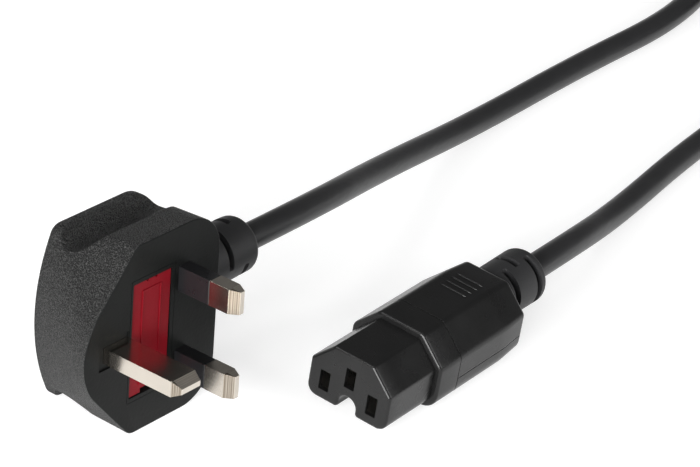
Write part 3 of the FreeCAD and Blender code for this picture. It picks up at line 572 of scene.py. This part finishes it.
# Rings of the outer skin: the rounded edge of the face, plain walls, close rings over the
# grooves and the rounded edge of the back. The walls are straight between the two edges, and
# the edges' insets are added to them.
face_turn = np.linspace(0, math.pi / 2, 5)
quarter_turn = np.linspace(0, math.pi / 2, 9)
face_depth = housing_face_edge * (1 - np.sin(face_turn))[::-1]
face_inset = housing_face_edge * (1 - np.cos(face_turn))[::-1]
back_depth = housing_depth - housing_back_edge * (1 - np.sin(quarter_turn))
back_inset = housing_back_edge * (1 - np.cos(quarter_turn))
wall_depth = np.concatenate([np.linspace(0.6, 7.2, 9), np.linspace(7.5, 22.3, 90)])
depths = np.concatenate([face_depth, wall_depth, back_depth])
insets = np.concatenate([face_inset, 0 * wall_depth, back_inset])
wall_ends = np.array([0.0, housing_depth - housing_back_edge])
straight = housing_outline(wall_ends, 0)
wall_share = np.clip(depths / wall_ends[1], 0, 1)[:, None, None]
outer = housing_outline(depths, insets) - housing_outline(depths, 0)
outer = outer + straight[0] * (1 - wall_share) + straight[1] * wall_share
grooved = soft_minimum(np.abs(outer[..., 1]), groove_limit(depths)[:, None], groove_edge_round)
outer[..., 1] = np.sign(outer[..., 1]) * grooved

chamber_depth = np.array([chamber_front, chamber_back])
chamber = housing_outline(chamber_depth, chamber_inset)
chamber[..., 1] = np.clip(chamber[..., 1], -chamber_half, chamber_half)


def behind_face(depth, outline):
    """Rings (x, y, z) from depths behind the face and outlines (x, z)."""
    depth = np.broadcast_to(depth[:, None], outline.shape[:2])
    return np.stack([outline[..., 0], depth, outline[..., 1]], axis=-1)


outer_rings = behind_face(depths, outer)
chamber_rings = behind_face(chamber_depth, chamber)
housing = Shell("plug_housing", on_plug)
housing.add_band(outer_rings)
face_holes = [rectangle(hole, 0) for hole in (*pin_holes, earth_recess, border_outer)]
housing.add_sheet(outer_rings[0], face_holes, level=1)
housing.add_sheet(rectangle(border_inner, 0), [rectangle(pocket, 0)], level=1)
housing.add_band([rectangle(border_outer, 0), rectangle(border_outer, border_depth),
                  rectangle(border_inner, border_depth), rectangle(border_inner, 0)])
for hole in (*pin_holes, pocket):
    housing.add_band([rectangle(hole, 0), rectangle(hole, chamber_front)])
housing.add_band([rectangle(earth_recess, 0), rectangle(earth_recess, recess_depth),
                  rectangle(earth_hole, recess_depth), rectangle(earth_hole, chamber_front)])
housing.add_band(chamber_rings)
chamber_holes = [rectangle(hole, chamber_front) for hole in (*pin_holes, earth_hole, pocket)]
housing.add_sheet(chamber_rings[0], chamber_holes, level=1)
housing.add_fan(chamber_rings[-1])
housing.add_fan(outer_rings[-1])
plug_housing = housing.build(grained_finish())
plain_faces = from_plain_mould(plug_housing.data)
plug_housing.data.materials.append(smooth_finish())
plug_housing.data.polygons.foreach_set("material_index", plain_faces.astype(int))
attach(plug_housing, "lead")
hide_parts("plug_body")

# Strain relief of the plug
# A soft black grommet round the cord. Arc-shaped slots, each turned a quarter from the last,
# let it bend. Its rounded end stands clear of the cord. A slot has its place and its width
# along the cord, and the angles of its middle and its span; it has another opposite.
grommet = {"start": 9.8, "end": 38.0, "base_radius": 8.0, "end_radius": 7.2, "rounding": 1.8,
           "slots": [(21.0, 1.6, 216, 84), (27.0, 1.6, 306, 84), (33.0, 1.6, 36, 84)]}
grommet_depth = 15.7
grommet_points = 180
slot_floor = 4.45
slot_arc_radius = 7.5
slot_corner = 0.3
slot_edge = 0.16


def slot_mask(x, angle, slots):
    """1 in a slot and 0 outside it, with a soft edge: the smaller of its reach round and along."""
    mask = np.zeros(np.broadcast_shapes(x.shape, angle.shape))
    for place, width, middle, span in slots:
        off = np.abs((angle - math.radians(middle) + math.pi / 2) % math.pi - math.pi / 2)
        reach_round = (math.radians(span / 2) - off) * slot_arc_radius
        reach_along = width / 2 - np.abs(x - place)
        reach = soft_minimum(reach_round, reach_along, slot_corner)
        mask = np.maximum(mask, np.clip(reach / slot_edge + 0.5, 0, 1))
    return mask


def relief_stations(start, end, slots, rounding):
    """Places along a relief: close together at the edges of the slots and on the rounded end."""
    parts = [np.linspace(start, end - rounding, 30)]
    for place, width, *_ in slots:
        for edge in (place - width / 2, place + width / 2):
            parts.append(edge + np.linspace(-slot_edge, slot_edge, 5))
    parts.append(end - rounding * (1 - np.sin(quarter_turn)))
    return np.unique(np.round(np.concatenate(parts), 4))


def relief_skin(start, end, base_radius, end_radius, rounding, slots):
    """Rings (x, y, z) round the X axis: a cone with a rounded end, sunk to a floor in its slots.

    Over the rounding e at the end, a share p past its start, the radius falls by
    e (1 - sqrt(1 - p p)).
    """
    x = relief_stations(start, end, slots, rounding)[:, None]
    angle = np.linspace(0, 2 * math.pi, grommet_points, endpoint=False)[None, :]
    cone = base_radius + (end_radius - base_radius) * (x - start) / (end - start)
    past = np.clip((x - (end - rounding)) / rounding, 0, 1)
    radius = cone - rounding * (1 - np.sqrt(1 - past * past))
    radius = radius + (slot_floor - radius) * slot_mask(x, angle, slots)
    return np.stack([x + 0 * angle, radius * np.sin(angle), radius * np.cos(angle)], axis=-1)


def relief_finish():
    """Soft satin plastic, a little lighter than the housing and unevenly so."""
    finish = Finish("relief_plastic")
    cloud = finish.grain(0.005)
    fine = finish.grain(0.00035, detail=3.0)
    colour = finish.blend(cloud, (0.019, 0.019, 0.020, 1), (0.026, 0.026, 0.027, 1))
    return finish.set(base_color=colour, gloss=0.3, roughness=0.44 + 0.1 * cloud,
                      normal=finish.bump(fine, 0.00003))


relief_material = relief_finish()
relief = Shell("plug_strain_relief", on_plug)
relief.add_tube(relief_skin(**grommet) + (0, grommet_depth, 0))
plug_relief = relief.build(relief_material)
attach(plug_relief, "lead")
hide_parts("strain_relief")

# Appliance connector, front
# Stiff black plastic with three contact slots, a half-round notch below the earth slot and a
# collar where the grip is moulded on. Sizes are in the connector's own millimetres: x towards
# the cord, y across and z up.
nose = {"half": 11.8, "top": 10.6, "bottom": -5.4, "cut": 6.0, "radius": 1.0, "low_radius": 2.8}
nose_length = 18.5
nose_edge = 0.8
nose_least_radius = 0.2
notch_half = 2.6
notch_top = -1.3
notch_length = 16.0
notch_end_step = 0.02
notch_mouth_radius = 0.8
notch_top_share = 0.98
shut_notch_height = 0.02
shut_notch_radius = 0.008
collar_step = 1.6
collar_edge = 0.75
collar_end = 27.0
joint_half_width = 0.14
joint_depth = 0.4
contact_slots = [(-7.0, 0.0), (7.0, 0.0), (0.0, 4.0)]
contact_slot_half = (1.45, 2.7)
contact_slot_radius = 0.15
contact_slot_widening = 0.45
contact_slot_lip = 1.2
contact_slot_end = 18.9
mould_seam_width = 0.00025
mould_seam_sink = 15


def connector_outline(inset, notch):
    """Outlines (y, z) of the connector moved inwards by an inset, with an open or shut notch.

    Where notch is 1 the underside rises into it. Where it is 0 the notch's corners stay, drawn
    down to the underside, so that every outline has as many points.
    """
    inset = np.asarray(inset, dtype=float)
    half = nose["half"] - inset
    top = nose["top"] - inset
    bottom = nose["bottom"] + inset
    cut = nose["cut"] - inset * (2 - math.sqrt(2))
    side = np.full(inset.shape, notch_half) + inset.clip(0)
    open_height = (notch_top + inset.clip(0) - bottom) * notch
    height = bottom + np.maximum(open_height, shut_notch_height)
    corners = [(half, bottom), (half, top - cut), (half - cut, top), (cut - half, top),
               (-half, top - cut), (-half, bottom), (-side, bottom), (-side, height),
               (side, height), (side, bottom)]
    corners = np.stack([np.stack(corner, -1) for corner in corners], axis=-2)
    small = np.maximum(nose["radius"] - inset, nose_least_radius)
    low = np.maximum(nose["low_radius"] - inset, nose_least_radius)
    deep = np.where(notch > 0.5, side * notch_top_share, shut_notch_radius)
    mouth = np.where(notch > 0.5, notch_mouth_radius, shut_notch_radius)
    radii = [low, small, small, small, small, low, mouth, deep, deep, mouth]
    return rounded_outline(corners, np.stack(radii, axis=-1), arc_steps=8, run_steps=8)


def along_connector(x, outline):
    """Rings (x, y, z) from places along the connector and outlines (y, z)."""
    x = np.broadcast_to(x[:, None], outline.shape[:-1])
    return np.stack([x, outline[..., 0], outline[..., 1]], axis=-1)


def connector_finish(name, roughness, seam=-1.0):
    """Moulded black plastic with a fine grain, and the seam of its mould at a height in metres.

    A seam below the floor isn't on the piece.
    """
    finish = Finish(name)
    cloud = finish.grain(0.007)
    fine = finish.grain(0.0005, detail=3.0)
    height = finish.node("SeparateXYZ", inputs={0: finish.place()}, output="Z")
    line = (1 - abs(height - seam) / mould_seam_width).at_least(0)
    plastic = finish.blend(cloud, (0.006, 0.006, 0.006, 1), (0.010, 0.010, 0.010, 1))
    colour = finish.blend(line, plastic, (0.001, 0.001, 0.001, 1))
    return finish.set(base_color=colour, gloss=0.3, roughness=roughness + 0.1 * cloud,
                      normal=finish.bump(fine - mould_seam_sink * line, 0.00002))


def contact_slot(centre, widening, x):
    """Loop (x, y, z) of a contact slot, widened all round, at a place along the connector."""
    half = (contact_slot_half[0] + widening, contact_slot_half[1] + widening)
    loop = rectangle((centre, half, contact_slot_radius), 0)
    return np.stack([np.full(len(loop), x), loop[:, 0], loop[:, 2]], axis=-1)


edge_turn = np.linspace(0, math.pi / 2, 6)
front_x = nose_edge * (1 - np.cos(edge_turn))
front_in = nose_edge * (1 - np.sin(edge_turn))
nose_x = [5, 10, notch_length, notch_length + notch_end_step, nose_length]
collar_x = nose_length + collar_edge * (1 - np.cos(edge_turn))
collar_in = -collar_step + collar_edge * (1 - np.sin(edge_turn))
front_joint_x = [collar_end - joint_half_width, collar_end]
front_joint_in = [-collar_step, -collar_step + joint_depth]
stations = np.concatenate([front_x, nose_x, collar_x, front_joint_x])
station_in = np.concatenate([front_in, np.zeros(len(nose_x)), collar_in, front_joint_in])
notch_open = (stations < notch_length + notch_end_step / 2).astype(float)
front_rings = along_connector(stations, connector_outline(station_in, notch_open))
front = Shell("connector_nose", on_connector)
front.add_band(front_rings)
front.add_sheet(front_rings[0], [contact_slot(centre, 0, 0) for centre in contact_slots], level=0)
for centre in contact_slots:
    walls = [contact_slot(centre, 0, 0),
             contact_slot(centre, 0, contact_slot_lip),
             contact_slot(centre, contact_slot_widening, contact_slot_lip),
             contact_slot(centre, contact_slot_widening, contact_slot_end)]
    front.add_band(walls)
    front.add_fan(walls[-1])
front.add_fan(front_rings[-1])
connector_nose = front.build(connector_finish("connector_plastic", 0.22))
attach(connector_nose, "lead")
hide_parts("connector_front")

# Appliance connector, grip
# Softer black plastic moulded on behind the collar, drawn in a little at the back. The seam
# of its mould runs along its sides.
grip_end = 56.2
grip_straight = (28.0, 47.0)
grip_straight_rings = 8
grip_draw_in = 0.7
grip_back_radius = 1.6
grip_seam_height = 0.0062

back_x = grip_end - grip_back_radius * (1 - np.sin(quarter_turn))
back_in = grip_draw_in - collar_step + grip_back_radius * (1 - np.cos(quarter_turn))
straight_x = np.linspace(*grip_straight, grip_straight_rings)
straight_in = np.full(grip_straight_rings, -collar_step)
grip_joint_x = [collar_end, collar_end + joint_half_width]
grip_joint_in = [-collar_step + joint_depth, -collar_step]
grip_x = np.concatenate([grip_joint_x, straight_x, back_x])
grip_in = np.concatenate([grip_joint_in, straight_in, back_in])
grip_outline = connector_outline(grip_in, np.zeros(len(grip_x)))
grip = Shell("connector_grip", on_connector)
grip.add_tube(along_connector(grip_x, grip_outline))
grip_material = connector_finish("grip_plastic", 0.24, grip_seam_height)
connector_grip = grip.build(grip_material)
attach(connector_grip, "lead")
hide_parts("connector_body")

# Ribs on the grip
# Four short round ribs across its top, moulded with it. Each is a bar whose thickness at a
# reach r from its middle is the radius times sqrt(1 - r^16), so that its ends are blunt.
rib_first = 40.3
rib_pitch = 2.35
rib_count = 4
rib_half_length = 4.0
rib_radius = 0.28
rib_least_square = 0.0004

rib_turn = np.linspace(0, 2 * math.pi, 16, endpoint=False)[None, :]
rib_reach = np.linspace(-1, 1, 13)[:, None]
rib_thickness = rib_radius * np.sqrt(np.clip(1 - rib_reach ** 16, rib_least_square, 1))
rib_across = rib_half_length * rib_reach + 0 * rib_turn
rib_height = nose["top"] + collar_step + rib_thickness * np.sin(rib_turn)
ribs = Shell("grip_ribs", on_connector)
for index in range(rib_count):
    rib_x = rib_first + index * rib_pitch + rib_thickness * np.cos(rib_turn)
    ribs.add_tube(np.stack([rib_x, rib_across, rib_height], axis=-1))
grip_ribs = ribs.build(grip_material)
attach(grip_ribs, "lead")

# Strain relief of the connector
# The same soft grommet as on the plug, shorter, with slots on both sides and one on top.
# The cord leaves the connector at its end.
back_grommet = {"start": 53.0, "end": connector_length, "base_radius": 7.2, "end_radius": 7.4,
                "rounding": 1.2,
                "slots": [(61.0, 2.0, 290, 120), (66.0, 2.0, 8, 50), (70.5, 2.0, 290, 120)]}

back_relief = Shell("connector_relief", on_connector)
back_relief.add_tube(relief_skin(**back_grommet) + (0, 0, connector_axis))
connector_relief = back_relief.build(relief_material)
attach(connector_relief, "lead")
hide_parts("connector_strain_relief")

# Pins
# Brass bars plated with nickel, drawn smooth along their length and milled to bevels at the
# tip. The bridge inside holds them. They keep the modelled mesh, with softened edges.
pin_edge = 0.0003
pin_edge_segments = 3
tip_fade = 0.0001
cut_spacing = 0.00022


def dress(node, material, edge=0.0, segments=2):
    """Give a modelled piece its finish, and sew it and soften its edges by a width in metres."""
    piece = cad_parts[node]
    piece.data.materials.clear()
    piece.data.materials.append(material)
    if edge:
        sew = piece.modifiers.new("sew", "WELD")
        sew.merge_threshold = 2 * sewing_distance
        soften = piece.modifiers.new("soften", "BEVEL")
        soften.width = edge
        soften.segments = segments
        soften.limit_method = "ANGLE"
        soften.angle_limit = sharp_angle


def pin_finish(name, tip, side):
    """Nickel plate: drawn smooth along the pin, milled across its tip.

    The tip lies past a depth in metres, and shows the cutter's lines. The bevel on its left, up
    to a place across, has a painted dark reflection: a darker colour and stronger cutter lines.
    """
    finish = Finish(name)
    pin_axis = (0.0, math.cos(plug_slope), -math.sin(plug_slope))
    depth = finish.node("VectorMath", {"operation": "DOT_PRODUCT"},
                        {0: finish.place(), 1: pin_axis}, output="Value")
    milled = ((tip - depth) / tip_fade).clamped()
    drawn = finish.grain(0.0004, detail=3.0, stretch=(1, 0.05, 1))
    cuts = finish.node("TexNoise", {"noise_dimensions": "1D"},
                       {"W": depth / cut_spacing, "Scale": 1.0, "Detail": 2.0})
    across = finish.node("SeparateXYZ", inputs={0: finish.place()}, output="X")
    # Painted dark reflection: left of the given place across, the tip's bevel is darker and its
    # cutter lines stronger.
    painted_dark_reflection = ((side - across) / tip_fade).clamped()
    cloud = finish.grain(0.004)
    streak = (cuts.contrast(4.0, 0.4) * (0.3 + 0.3 * painted_dark_reflection) + 0.5 * painted_dark_reflection) * milled
    plate = finish.blend(cloud, (0.58, 0.53, 0.465, 1), (0.66, 0.61, 0.54, 1))
    # The dark brown paints the cutter's lines, and the painted dark reflection on the tip's left
    # bevel.
    colour = finish.blend(streak, plate, (0.16, 0.13, 0.095, 1))
    height = drawn * 0.015 * (1 - milled) + cuts * 0.5 * milled
    return finish.set(base_color=colour, metallic=1.0,
                      roughness=0.15 + 0.10 * drawn + 0.15 * milled,
                      normal=finish.bump(height, 0.0001))


# The side given is where the painted dark reflection on a tip's left bevel ends.
earth_nickel = pin_finish("earth_nickel", tip=-0.02413, side=-0.01705)
power_nickel = pin_finish("power_nickel", tip=-0.0191, side=0.00757)
dress("earth_pin", earth_nickel, pin_edge, pin_edge_segments)
for node in ("line_pin", "neutral_pin"):
    dress(node, power_nickel, pin_edge, pin_edge_segments)

# Sleeves of the line and neutral pins
# Black insulating plastic moulded round the half of each pin that is next to the face, flush
# with the bare metal. They keep the modelled mesh, with softened edges.
sleeve_edge = 0.0002


def plain_finish(name, dark, light, roughness, metallic=0.0, gloss=0.5):
    """Moulded or drawn stock with a faint unevenness of colour and sheen."""
    finish = Finish(name)
    cloud = finish.grain(0.002)
    fine = finish.grain(0.0003, detail=3.0)
    return finish.set(base_color=finish.blend(cloud, dark, light), metallic=metallic, gloss=gloss,
                      roughness=roughness + 0.1 * cloud, normal=finish.bump(fine, 0.00002))


sleeve = plain_finish("sleeve_plastic", (0.007, 0.007, 0.008, 1), (0.010, 0.010, 0.011, 1), 0.24)
for node in ("line_pin_sleeve", "neutral_pin_sleeve"):
    dress(node, sleeve, sleeve_edge)

# Fuse carrier
# Red moulded plastic, flush with the pin face. It holds the fuse, and slides straight out of
# its pocket between the pins. It keeps the modelled mesh, with softened edges.
carrier_edge = 0.00012
red = plain_finish("carrier_plastic", (0.155, 0.004, 0.008, 1), (0.185, 0.005, 0.011, 1), 0.34,
                   gloss=0.1)
dress("fuse_carrier", red, carrier_edge)

# Fuse
# A ceramic tube with a nickel-plated cap pressed on each end. It lies in the carrier and
# goes out with it. In the plug a clip holds each cap.
ceramic = plain_finish("fuse_ceramic", (0.78, 0.75, 0.68, 1), (0.84, 0.81, 0.74, 1), 0.16)
cap = plain_finish("cap_nickel", (0.66, 0.65, 0.62, 1), (0.74, 0.73, 0.70, 1), 0.2, metallic=1.0)
dress("fuse_tube", ceramic)
for node in ("fuse_cap_line", "fuse_cap_supply"):
    dress(node, cap)

# Clips, terminals and contacts
# Stamped from strip and bent: brass for the fuse clips and the terminals in the plug, and
# tinned for the contacts behind the connector's slots.
brass = plain_finish("strip_brass", (0.72, 0.52, 0.22, 1), (0.80, 0.60, 0.28, 1), 0.24,
                     metallic=1.0)
tinned = plain_finish("contact_tin", (0.58, 0.56, 0.53, 1), (0.66, 0.64, 0.61, 1), 0.12,
                      metallic=1.0)
for node in ("line_fuse_clip", "supply_fuse_clip", "neutral_terminal", "earth_terminal"):
    dress(node, brass)
for node in ("line_contact", "neutral_contact", "earth_contact"):
    dress(node, tinned)

# Bridge and inner cover
# Pale moulded plastic inside the plug, out of sight. The bridge carries the pins, and the
# cover lies behind it.
pale = plain_finish("bridge_plastic", (0.44, 0.43, 0.39, 1), (0.50, 0.49, 0.45, 1), 0.5)
for node in ("pin_bridge", "inner_cover"):
    dress(node, pale)

# Sheath ends and cores
# The cord's black sheath is held in the plug and in the connector. From its ends the cores
# run on: brown for the live side, blue for neutral, and green and yellow bands for earth.
core_band = 0.003


def striped_finish(name, first, second, spacing):
    """Insulation in two colours, in level bands of which a pair is a spacing high."""
    finish = Finish(name)
    height = finish.node("SeparateXYZ", inputs={0: finish.place()}, output="Z")
    wave = finish.node("Math", {"operation": "SINE"}, {0: height * (2 * math.pi / spacing)})
    return finish.set(base_color=finish.blend(wave > 0.0, first, second), roughness=0.45)


sheath = plain_finish("sheath_end", (0.020, 0.020, 0.021, 1), (0.027, 0.027, 0.028, 1), 0.36)
brown = plain_finish("core_brown", (0.16, 0.06, 0.025, 1), (0.20, 0.08, 0.035, 1), 0.4)
blue = plain_finish("core_blue", (0.02, 0.13, 0.42, 1), (0.03, 0.17, 0.50, 1), 0.4)
green_yellow = striped_finish("core_green_yellow", (0.62, 0.55, 0.03, 1), (0.03, 0.26, 0.06, 1),
                              core_band)
for node in ("plug_sheath_end", "connector_sheath_end"):
    dress(node, sheath)
for node in ("live_core", "connector_live_core"):
    dress(node, brown)
for node in ("neutral_core", "connector_neutral_core"):
    dress(node, blue)
for node in ("earth_core", "connector_earth_core"):
    dress(node, green_yellow)

# Floor and light
# A plain pale floor that keeps the soft shadow and is a little lifted where it is seen. The
# surround is pale at the horizon and dim above. Of four soft lamps a wide one stands low on
# the left, a small one behind lights the edges, one is on the right and a faint one above.
white = (1, 1, 1, 1)
floor_reach = 6.0
floor_colour = (0.50, 0.50, 0.50, 1)
floor_glow = 0.66
surround_strength = 0.8
surround_dimming = 0.66
dim_from_height = 0.2

floor_corners = [(-floor_reach, -floor_reach, 0), (floor_reach, -floor_reach, 0),
                 (floor_reach, floor_reach, 0), (-floor_reach, floor_reach, 0)]
floor_mesh = bpy.data.meshes.new("floor")
floor_mesh.from_pydata(floor_corners, [], [(0, 1, 2, 3)])
floor = put_in_scene("floor", floor_mesh)
paper = Finish("floor_paper")
paper.set(base_color=floor_colour, roughness=0.9)
seen = paper.node("LightPath", output="Is Camera Ray")
seen = seen + paper.node("LightPath", output="Is Glossy Ray")
seen = seen + paper.node("LightPath", output="Is Transmission Ray")
plain = Wire(paper.tree, paper.shader.outputs[0])
glow = paper.node("Emission", inputs={"Color": white, "Strength": floor_glow})
lifted = paper.node("AddShader", inputs={0: plain, 1: glow})
shown = paper.node("MixShader", inputs={0: seen.at_most(1), 1: plain, 2: lifted})
join(paper.tree, paper.tree.nodes["Material Output"].inputs["Surface"], shown)
floor_mesh.materials.append(paper.material)

world = bpy.data.worlds.new("surround")
bpy.context.scene.world = world
world.use_nodes = True
surround = Nodes(world.node_tree)
heading = surround.node("TexCoord", output="Generated")
upward = surround.node("SeparateXYZ", inputs={0: heading}, output="Z")
dimmed = (upward / dim_from_height).clamped()
sky = world.node_tree.nodes["Background"]
join(surround.tree, sky.inputs["Color"], white)
join(surround.tree, sky.inputs["Strength"], surround_strength - surround_dimming * dimmed)


def add_lamp(name, place, target, size, power):
    """A square soft lamp at a place, turned to a target, in metres and watts."""
    lamp = bpy.data.lights.new(name, "AREA")
    lamp.size = size
    lamp.energy = power
    made = put_in_scene(name, lamp)
    made.location = place
    aim = Vector(target) - Vector(place)
    made.rotation_euler = aim.to_track_quat("-Z", "Y").to_euler()


add_lamp("lamp_left", place=(-1.1, -0.25, 0.24), target=(0.02, 0, 0.02), size=0.9, power=44)
add_lamp("lamp_back", place=(-0.6, 0.6, 0.85), target=(0.02, 0, 0.02), size=0.3, power=3)
add_lamp("lamp_right", place=(0.5, -1.1, 0.6), target=(0.05, -0.02, 0.02), size=0.7, power=7)
add_lamp("lamp_top", place=(0.0, -0.2, 1.4), target=(0.05, 0, 0), size=1.0, power=1)
bpy.context.scene.view_settings.view_transform = "Standard"
